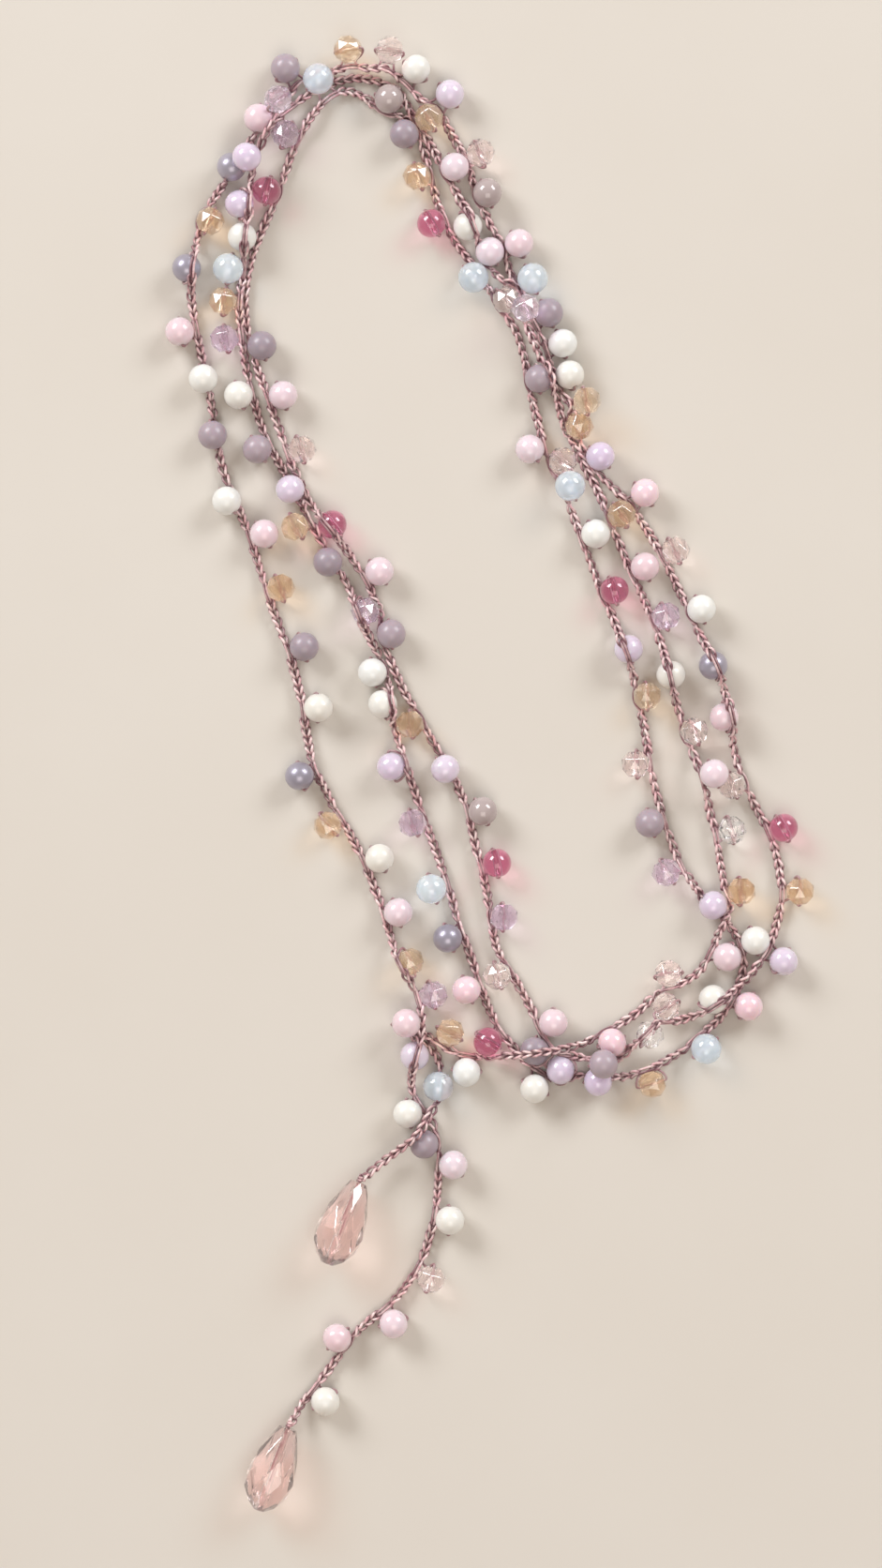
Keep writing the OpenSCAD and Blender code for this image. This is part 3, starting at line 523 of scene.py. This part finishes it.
def glaze(name, pale, deep, skin_depth=0.03, passes=None, **sockets):
    """A bead's glass: two close tones mixed bead by bead, with faint swirls in the melt and a fine surface.
    Clear glass passes the lamps' light, tinted, on to the table."""
    glass = new_finish(name, **sockets)
    tree, nodes, links = glass.node_tree, glass.node_tree.nodes, glass.node_tree.links
    shader = nodes["Principled BSDF"]
    own = nodes.new("ShaderNodeAttribute")
    own.attribute_name = "tone"
    swirl = nodes.new("ShaderNodeMath")
    swirl.operation = "MULTIPLY"
    swirl.inputs[1].default_value = 0.5
    blend = nodes.new("ShaderNodeMath")
    blend.operation = "MULTIPLY_ADD"
    blend.inputs[1].default_value = 0.55
    links.new(grain(tree, 260, 3, 1.2), swirl.inputs[0])
    links.new(own.outputs["Fac"], blend.inputs[0])
    links.new(swirl.outputs[0], blend.inputs[2])
    links.new(two_tones(tree, blend.outputs[0], pale, deep), shader.inputs["Base Color"])
    relieve(tree, grain(tree, 900, 2), skin_depth, 0.0001)
    if passes:
        lamp_ray = nodes.new("ShaderNodeLightPath")
        tint = nodes.new("ShaderNodeBsdfTransparent")
        tint.inputs["Color"].default_value = (*passes, 1)
        either = nodes.new("ShaderNodeMixShader")
        links.new(lamp_ray.outputs["Is Shadow Ray"], either.inputs[0])
        links.new(shader.outputs[0], either.inputs[1])
        links.new(tint.outputs[0], either.inputs[2])
        links.new(either.outputs[0], nodes["Material Output"].inputs["Surface"])
    return glass


ball_blank = drilled_ball(BEAD_RADIUS["cream"] * MM)
opal_blank = drilled_ball(BEAD_RADIUS["blue"] * MM)
ROUND_FINISH = {
    "cream": ("cream_pearl", glaze(
        "cream_pearl_coat", (0.81, 0.84, 0.85), (0.79, 0.755, 0.69), Roughness=0.32, Coat_Weight=0.5,
        Coat_Roughness=0.12, Subsurface_Weight=0.25, Subsurface_Scale=0.001, Subsurface_Radius=(1.0, 0.9, 0.8),
    )),
    "grey": ("grey_glass", glaze(
        "grey_matt_glass", (0.46, 0.37, 0.42), (0.31, 0.26, 0.31), Roughness=0.36, Coat_Weight=0.25,
        Coat_Roughness=0.2, Subsurface_Weight=0.15, Subsurface_Scale=0.001,
    )),
    "lavender": ("lavender_glass", glaze(
        "lavender_milk_glass", (0.91, 0.82, 0.98), (0.82, 0.70, 0.93), skin_depth=0.015, Roughness=0.2,
        Transmission_Weight=0.25, Subsurface_Weight=0.6, Subsurface_Scale=0.002, Subsurface_Radius=(1.0, 0.8, 0.9),
        Coat_Weight=0.9, Coat_Roughness=0.07,
    )),
    "pink": ("pink_glass", glaze(
        "pink_milk_glass", (0.92, 0.84, 0.94), (0.96, 0.69, 0.74), skin_depth=0.015, Roughness=0.26,
        Transmission_Weight=0.2, Subsurface_Weight=0.6, Subsurface_Scale=0.002, Subsurface_Radius=(1.0, 0.8, 0.85),
        Coat_Weight=0.8, Coat_Roughness=0.1,
    )),
    "coral": ("coral_pearl", glaze(
        "rosy_pearl_coat", (0.87, 0.68, 0.75), (0.83, 0.57, 0.65), Roughness=0.22, Coat_Weight=1.0,
        Coat_Roughness=0.03, Subsurface_Weight=0.2, Subsurface_Scale=0.001,
    )),
    "steel": ("steel_glass", glaze(
        "steel_coat", (0.47, 0.44, 0.53), (0.34, 0.32, 0.40), Roughness=0.34, Metallic=0.45, Coat_Weight=0.5,
        Coat_Roughness=0.1,
    )),
    "blue": ("blue_opal", glaze(
        "blue_opal_glass", (0.86, 0.91, 0.95), (0.74, 0.81, 0.88), skin_depth=0.02, passes=(0.75, 0.80, 0.84),
        Roughness=0.04, Transmission_Weight=0.6, Subsurface_Weight=0.7, Subsurface_Scale=0.002,
        Subsurface_Radius=(0.8, 0.9, 1.0), Coat_Weight=1.0, Coat_Roughness=0.02,
    )),
    "raspberry": ("raspberry_glass", glaze(
        "raspberry_clear_glass", (0.86, 0.45, 0.60), (0.66, 0.27, 0.42), skin_depth=0.01, passes=(0.86, 0.60, 0.68),
        Roughness=0.02, Transmission_Weight=0.92, Coat_Weight=1.0, Coat_Roughness=0.02,
    )),
    "taupe": ("taupe_glass", glaze(
        "taupe_bright_glass", (0.52, 0.44, 0.43), (0.36, 0.29, 0.30), Roughness=0.1, Coat_Weight=0.8,
        Coat_Roughness=0.02,
    )),
}
for number, (kind, (slot, finish)) in enumerate(ROUND_FINISH.items()):
    strung = [s for s in threaded if s["kind"] == kind]
    piece = string_up(f"{kind}_beads", opal_blank if kind == "blue" else ball_blank, strung, 20 + number, squash=0.03)
    piece.data.materials.append(finish)
    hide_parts(f"beads_{kind}")


# Cut beads. Glass pressed in a mould and ground to two crowns and a band of triangles, so the facets are
# flat, with edges that the polish has just eased.
CUT_SIDES = 8
CUT_RINGS = [(-0.88, 0.50, 0), (-0.36, 0.98, 1), (0.36, 0.98, 0), (0.88, 0.50, 1)]
FIRE_EDGE = 0.07 * MM


def ground_blank(rings, edge):
    """A faceted body along Z from rings of corners (height, radius, half turns), drilled, its edges eased."""
    body = bmesh.new()
    for height, radius, half_turns in rings:
        bmesh.ops.create_circle(
            body, segments=CUT_SIDES, radius=radius, cap_ends=False, matrix=Matrix.Translation((0, 0, height))
            @ Matrix.Rotation(math.pi * half_turns / CUT_SIDES - math.pi / 2, 4, "Z"),
        )
    for wire in body.edges[:]:
        body.edges.remove(wire)
    bmesh.ops.convex_hull(body, input=body.verts)
    bmesh.ops.dissolve_limit(body, angle_limit=0.01, verts=body.verts, edges=body.edges)
    bmesh.ops.bevel(
        body, geom=body.edges[:], offset=edge, offset_type="OFFSET", segments=1, profile=0.5, affect="EDGES",
        material=-1,
    )
    ends = sorted(body.faces, key=lambda f: f.calc_center_median().z)
    mouths = [ends[0], ends[-1]]
    walls = []
    for mouth in mouths:
        level = mouth.calc_center_median().z
        reach = min(v.co.xy.length for v in mouth.verts)
        bmesh.ops.inset_individual(body, faces=[mouth], thickness=max(0.0, reach * 0.92 - HOLE_RADIUS), depth=0)
        for vert in mouth.verts:
            vert.co.xy = vert.co.xy.normalized() * HOLE_RADIUS
            vert.co.z = level
        walls += mouth.edges[:]
    bmesh.ops.delete(body, geom=mouths, context="FACES_ONLY")
    bmesh.ops.bridge_loops(body, edges=walls)
    bmesh.ops.recalc_face_normals(body, faces=body.faces)
    for face in body.faces:
        face.smooth = False
    shape = bpy.data.meshes.new("cut_blank")
    body.to_mesh(shape)
    body.free()
    return shape


cut_radius = BEAD_RADIUS["rose"] * MM
cut_blank = ground_blank([(h * cut_radius, r * cut_radius, t) for h, r, t in CUT_RINGS], FIRE_EDGE)
CUT_FINISH = {
    "champagne": ("champagne_glass", glaze(
        "champagne_cut_glass", (0.92, 0.80, 0.65), (0.82, 0.62, 0.42), skin_depth=0.0, passes=(0.88, 0.78, 0.67),
        Roughness=0.20, Transmission_Weight=0.92, IOR=1.56, Thin_Film_Thickness=380.0, Thin_Film_IOR=1.6,
        Coat_Weight=1.0, Coat_Roughness=0.02, Coat_IOR=1.9,
    )),
    "rose": ("rose_glass", glaze(
        "rose_cut_glass", (0.95, 0.89, 0.88), (0.90, 0.79, 0.78), skin_depth=0.0, passes=(0.90, 0.84, 0.83),
        Roughness=0.15, Transmission_Weight=0.95, IOR=1.56, Coat_Weight=1.0, Coat_Roughness=0.02,
        Coat_IOR=1.9,
    )),
    "lilac": ("lilac_glass", glaze(
        "lilac_cut_glass", (0.87, 0.77, 0.85), (0.74, 0.60, 0.73), skin_depth=0.0, passes=(0.85, 0.79, 0.84),
        Roughness=0.2, Transmission_Weight=0.93, IOR=1.56, Coat_Weight=1.0, Coat_Roughness=0.02,
        Coat_IOR=1.9,
    )),
    "clear": ("clear_glass", glaze(
        "clear_cut_glass", (0.98, 0.97, 0.97), (0.94, 0.93, 0.94), skin_depth=0.0, passes=(0.92, 0.91, 0.91),
        Roughness=0.12, Transmission_Weight=0.97, IOR=1.56, Coat_Weight=1.0, Coat_Roughness=0.02,
        Coat_IOR=1.9,
    )),
}
for number, (kind, (slot, finish)) in enumerate(CUT_FINISH.items()):
    piece = string_up(f"{kind}_beads", cut_blank, [s for s in threaded if s["kind"] == kind], 40 + number)
    piece.data.materials.append(finish)
    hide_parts(f"beads_{kind}")


# The drops. Two long pears of cut crystal that weigh the tails, ground all round and polished, and drilled
# from the narrow end to the tip for the thread.
DROP_EDGE = 0.1 * MM
DROP_RINGS = [
    (0.00, 0.36, 0), (0.10, 0.53, 1), (0.34, 0.83, 0), (0.60, 1.00, 1), (0.78, 0.90, 0), (0.92, 0.60, 1),
    (1.00, 0.24, 0),
]
drop_blank = ground_blank(
    [((place - 0.5) * DROP_LENGTH * MM, width * DROP_RADIUS * MM, turns) for place, width, turns in DROP_RINGS],
    DROP_EDGE,
)
drop_finish = glaze(
    "smoky_rose_crystal", (0.98, 0.85, 0.85), (0.92, 0.75, 0.75), skin_depth=0.0, passes=(0.72, 0.60, 0.56),
    Roughness=0.02, Transmission_Weight=0.96, IOR=1.42, Coat_Weight=1.0, Coat_Roughness=0.01,
    Coat_IOR=1.8,
)
for name, tail, way in (("drop_long", "tail_long", -1), ("drop_short", "tail_short", 1)):
    hung = [s for s in threaded if s["kind"] == "drop" and s["stretch"] == tail]
    for station in hung:
        station["to_tip"] = station["heading"] * way
    piece = string_up(name + "_crystal", drop_blank, [{**s, "heading": s["to_tip"]} for s in hung], 60)
    piece.data.materials.append(drop_finish)
    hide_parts(name)


# The thread. Silky two-ply yarn half a millimetre thick, crocheted into a chain: every stitch is a teardrop
# loop drawn through the one before, over a running back thread. At a bead one stitch is drawn out long
# and passes it as a loose loop, while the working thread goes through the hole.
YARN_RADIUS = 0.29
STITCH = 2.0
OVERLAP = 0.42
# half a stitch loop: (share of its length, sideways, height), in millimetres but for the share
LOOP_SHAPE = [
    (0.0, 0.02, -0.45), (0.13, 0.16, 0.16), (0.34, 0.44, 0.58), (0.60, 0.78, 0.46), (0.82, 0.78, -0.16),
    (0.96, 0.40, -0.55),
]
LOOP_HEAD = (1.02, 0.0, -0.66)
LONG_SHAPE = [(0.0, 0.10, -0.20), (0.10, 0.36, 0.16), (0.35, 0.34, 0.22), (0.65, 0.34, 0.22), (0.88, 0.38, 0.1)]
LONG_HEAD = (1.02, 0.0, -0.35)
BACK_DEPTH, BACK_SWAY = 0.46, 0.1
# the chain rolls about its own line as it goes: (turn in radians, length of the wave, phase)
ROLLS = ((0.45, 9.0, 0.0), (0.25, 3.7, 1.0))
KNOT_TURN, KNOT_POINTS, KNOT_RADIUS, KNOT_PITCH = 0.95, 15, 0.5, 0.09


def across_at(length):
    """Sideways and up across the settled chain at a length of the drawn course."""
    forward = (thread_at(length + 0.6) - thread_at(length - 0.6)).normalized()
    rise = rise_at(length)
    sideways = rise.cross(forward).normalized()
    roll = sum(turn * math.sin(length / wave + phase) for turn, wave, phase in ROLLS)
    sideways = Matrix.Rotation(roll, 3, forward) @ sideways
    return sideways, forward.cross(sideways)


def laid(length, sideways, height):
    """A point of a stitch on the settled chain."""
    side, rise = across_at(length)
    return thread_at(length) + side * sideways + rise * height


hand = random.Random(7)


def stitch_loop(start, end, shape, head):
    """Control points of one loop, up one leg, round the head and down the other. No two are drawn quite alike."""
    reach = end - start
    full = hand.uniform(0.82, 1.12)
    lean, proud = hand.uniform(-0.14, 0.14), hand.uniform(-0.05, 0.12)
    left = [laid(start + share * reach, lean * share - wide * full, high + proud) for share, wide, high in shape]
    right = [laid(start + share * reach, lean * share + wide * full, high - proud) for share, wide, high in shape]
    return left + [laid(start + head[0] * reach, lean, head[2])] + right[::-1]


def round_the_shoulder(bead, hole, join):
    """The working thread from a bead's hole, close over the glass, to where it joins the chain. It dives under
    the bead's overhang where the chain lies low."""
    place, close = bead["place"], BEAD_RADIUS[bead["kind"]] + YARN_RADIUS
    reach = join - place
    low = join.z < place.z
    slack = 0.25 if low else 1.0
    turn = max(0.1, hole.angle(reach) - slack * math.acos(min(1, close / reach.length)))
    axle = hole.cross(reach)
    steps = [0.12, 0.4, 0.7, 1.0] if turn > 0.5 else [0.5]
    dive = Vector((0, 0, -0.75 if low else 0))
    arc = [
        (Matrix.Rotation(turn * share, 3, axle) @ hole + dive * math.sin(min(share, 0.7) * 2.2)).normalized()
        for share in steps
    ]
    return [place + hole * (close - 0.35), *(place + way * (close + 0.05) for way in arc), join]


# the middle line of the chain, from which it is seen how deep in the chain a bit of yarn lies, for the shade that is
# painted into the yarn's colour
MIDDLE_POINTS = 2 * len(along)
WITHIN_CHAIN = 1.3 * MM
# painted shade on the yarn: full near the chain's heart, fading out over the next span of height; yarn away from the
# chain is painted partly shaded
FULL_PAINTED_SHADE_BELOW, PAINTED_SHADE_FADE, LOOSE = 0.12, 0.5, 0.35
middle = KDTree(MIDDLE_POINTS)
for number, length in enumerate(np.linspace(0, along[-1], MIDDLE_POINTS)):
    middle.insert(thread_at(length) * MM, number)
middle.balance()
YARN_STEP = 0.55
YARN_LOWEST = YARN_RADIUS + 0.05


def spin_yarn(name, runs):
    """One piece of yarn from lists of control points, round in section and closed at the ends. Its float attribute
    holds
    painted shade: it tells how far each part lies above or below the heart of the chain, low where the yarn is
    painted dark."""
    skein = bpy.data.curves.new(name, "CURVE")
    skein.dimensions = "3D"
    skein.bevel_depth = YARN_RADIUS * MM
    skein.bevel_resolution = 1
    skein.use_fill_caps = True
    for run in runs:
        spline = skein.splines.new("NURBS")
        spline.points.add(len(run) - 1)
        for point, place in zip(spline.points, run):
            point.co = (place.x * MM, place.y * MM, max(place.z, YARN_LOWEST) * MM, 1)
        spline.order_u = 4
        spline.use_endpoint_u = True
        spacing = sum((b - a).length for a, b in zip(run, run[1:])) / len(run)
        spline.resolution_u = max(1, round(spacing / YARN_STEP))
    carrier = bpy.data.objects.new(name, skein)
    bpy.context.scene.collection.objects.link(carrier)
    shape = bpy.data.meshes.new_from_object(carrier.evaluated_get(bpy.context.evaluated_depsgraph_get()))
    bpy.data.objects.remove(carrier)
    yarn = bmesh.new()
    yarn.from_mesh(shape)
    bmesh.ops.remove_doubles(yarn, verts=yarn.verts, dist=1e-7)
    outer = yarn.verts.layers.float.new("outer")
    # painted shade: 0 deep in the chain, where the yarn is painted darkest, up to 1 on the loops' outer faces
    for vert in yarn.verts:
        core, number, away = middle.find(vert.co)
        high = abs((vert.co - core).dot(rise_at(number * along[-1] / (MIDDLE_POINTS - 1)))) / MM
        vert[outer] = LOOSE if away > WITHIN_CHAIN else min(1, max(0, (high - FULL_PAINTED_SHADE_BELOW) / PAINTED_SHADE_FADE))
    yarn.to_mesh(shape)
    yarn.free()
    shape.name = name
    piece = bpy.data.objects.new(name, shape)
    bpy.context.scene.collection.objects.link(piece)
    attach(piece, "root")
    return piece


silk = new_finish(
    "dusty_rose_silk", Roughness=0.34, Specular_IOR_Level=0.8, Sheen_Weight=0.15, Sheen_Roughness=0.35,
    Sheen_Tint=(1.0, 0.86, 0.86, 1),
)
silk_tree = silk.node_tree
dye = silk_tree.nodes.new("ShaderNodeMapRange")
dye.inputs["From Min"].default_value = 0.36
dye.inputs["From Max"].default_value = 0.64
silk_tree.links.new(grain(silk_tree, 800, 2), dye.inputs["Value"])
dyed = two_tones(silk_tree, dye.outputs[0], (0.69, 0.39, 0.42), (0.93, 0.74, 0.73))
# painted shade: yarn deep in the heart of the chain, between the loops, is painted a deep wine dark, fading to the
# dyed tones towards the loops' tops and sides
painted_shade_attribute = silk_tree.nodes.new("ShaderNodeAttribute")
painted_shade_attribute.attribute_name = "outer"
silk_with_painted_shade = two_tones(silk_tree, painted_shade_attribute.outputs["Fac"], (0.15, 0.05, 0.07), dyed)
silk_tree.links.new(silk_with_painted_shade, silk_tree.nodes["Principled BSDF"].inputs["Base Color"])
relieve(silk_tree, grain(silk_tree, 4200, 2), 0.35, 0.00008)

for number, stretch in enumerate(order):
    mine = np.flatnonzero(stretch_of == number)
    start, end = along[mine[0]], along[min(mine[-1] + 1, len(along) - 1)]
    carried = sorted((bead for bead in beads if bead["stretch"] == stretch), key=lambda bead: bead["from"])
    loops = []
    length = start
    for bead in carried + [None]:
        stop = bead["from"] if bead else end
        count = round((stop - length) / STITCH)
        if count > 0:
            pitch = (stop - length) / count
            for k in range(count):
                begin = length + k * pitch
                loops.append(stitch_loop(begin - 0.1, begin + pitch * (1 + OVERLAP), LOOP_SHAPE, LOOP_HEAD))
            loops.append([
                laid(length + pitch * k / 2, BACK_SWAY * (-1) ** k, -BACK_DEPTH if k % 2 else -BACK_DEPTH * 0.6)
                for k in range(2 * count + 1)
            ])
        if bead:
            loops.append(stitch_loop(bead["from"] - 0.3, bead["to"] + 0.9, LONG_SHAPE, LONG_HEAD))
            bore = bead["heading"]
            before, after = thread_at(bead["from"] - 1.0), thread_at(bead["to"] + 1.0)
            if (after - before).dot(bore) < 0:
                bore = -bore
            inside = bore * (BEAD_RADIUS[bead["kind"]] - 1)
            place = bead["place"]
            loops.append([
                before, *reversed(round_the_shoulder(bead, -bore, laid(bead["from"] + 0.1, 0, -0.2))),
                place - inside, place, place + inside,
                *round_the_shoulder(bead, bore, laid(bead["to"] - 0.1, 0, -0.2)), after,
            ])
            length = bead["to"]
    for station in threaded:
        if station["kind"] == "drop" and station["stretch"] == stretch:
            top = station["place"] - station["to_tip"] * DROP_LENGTH / 2
            near = start + 0.5 if stretch == "tail_long" else end - 0.5
            loops.append([
                thread_at(near), top - station["to_tip"] * 0.8, top + station["to_tip"] * 1.0,
                station["place"], station["place"] + station["to_tip"] * 2.5,
            ])
            # a small overhand knot holds the crystal
            wide = station["to_tip"].cross(Vector((0, 0, 1))).normalized()
            tall = wide.cross(station["to_tip"])
            winds = [wide * math.cos(k * KNOT_TURN) + tall * math.sin(k * KNOT_TURN) for k in range(KNOT_POINTS)]
            loops.append([
                top - station["to_tip"] * (0.35 + KNOT_PITCH * k) + wind * KNOT_RADIUS for k, wind in enumerate(winds)
            ])
    piece = spin_yarn(f"{stretch}_crochet", loops)
    piece.data.materials.append(silk)
    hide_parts(f"strand_{stretch}")


# The table and the daylight. A pale warm table top; two wide windows beyond the top of the picture, one to
# each side, give each bead its pair of bright panes, and a broad soft light overhead fills the shade.
table_shape = bpy.data.meshes.new("table_top")
top = bmesh.new()
bmesh.ops.create_grid(top, x_segments=1, y_segments=1, size=6)
top.to_mesh(table_shape)
top.free()
table = bpy.data.objects.new("table_top", table_shape)
bpy.context.scene.collection.objects.link(table)
plaster = new_finish("pale_table", Roughness=0.75)
plaster_tree = plaster.node_tree
clouding = two_tones(plaster_tree, grain(plaster_tree, 14, 4), (0.62, 0.575, 0.52), (0.66, 0.625, 0.58))
plaster_tree.links.new(clouding, plaster_tree.nodes["Principled BSDF"].inputs["Base Color"])
table_shape.materials.append(plaster)


def window(name, place, width, height, power, colour):
    """An area light that faces the necklace."""
    pane = bpy.data.lights.new(name, "AREA")
    pane.shape = "RECTANGLE"
    pane.size, pane.size_y = width, height
    pane.energy = power
    pane.color = colour
    lamp = bpy.data.objects.new(name, pane)
    lamp.location = place
    lamp.rotation_euler = (-Vector(place)).to_track_quat("-Z", "Y").to_euler()
    bpy.context.scene.collection.objects.link(lamp)


window("left_window", (-1.2, 1.15, 1.0), 1.0, 0.70, 26.5, (0.96, 0.985, 1.0))
window("right_window", (1.2, 1.15, 1.0), 1.0, 0.70, 19.0, (0.96, 0.985, 1.0))
window("overhead_sky", (0.05, -0.60, 1.30), 0.9, 0.9, 6.0, (1.0, 0.93, 0.85))
room = bpy.data.worlds.new("room")
room.use_nodes = True
walls, wall_links = room.node_tree.nodes, room.node_tree.links
look = walls.new("ShaderNodeTexCoord")
upward = walls.new("ShaderNodeSeparateXYZ")
ceiling = walls.new("ShaderNodeMapRange")
ceiling.inputs["From Min"].default_value = 0.05
ceiling.inputs["From Max"].default_value = 0.85
ceiling.inputs["To Min"].default_value = 0.55
ceiling.inputs["To Max"].default_value = 0.34
walls["Background"].inputs["Color"].default_value = (1.0, 0.87, 0.76, 1)
wall_links.new(look.outputs["Generated"], upward.inputs[0])
wall_links.new(upward.outputs["Z"], ceiling.inputs["Value"])
wall_links.new(ceiling.outputs[0], walls["Background"].inputs["Strength"])
bpy.context.scene.world = room
bpy.context.scene.view_settings.view_transform = "Standard"
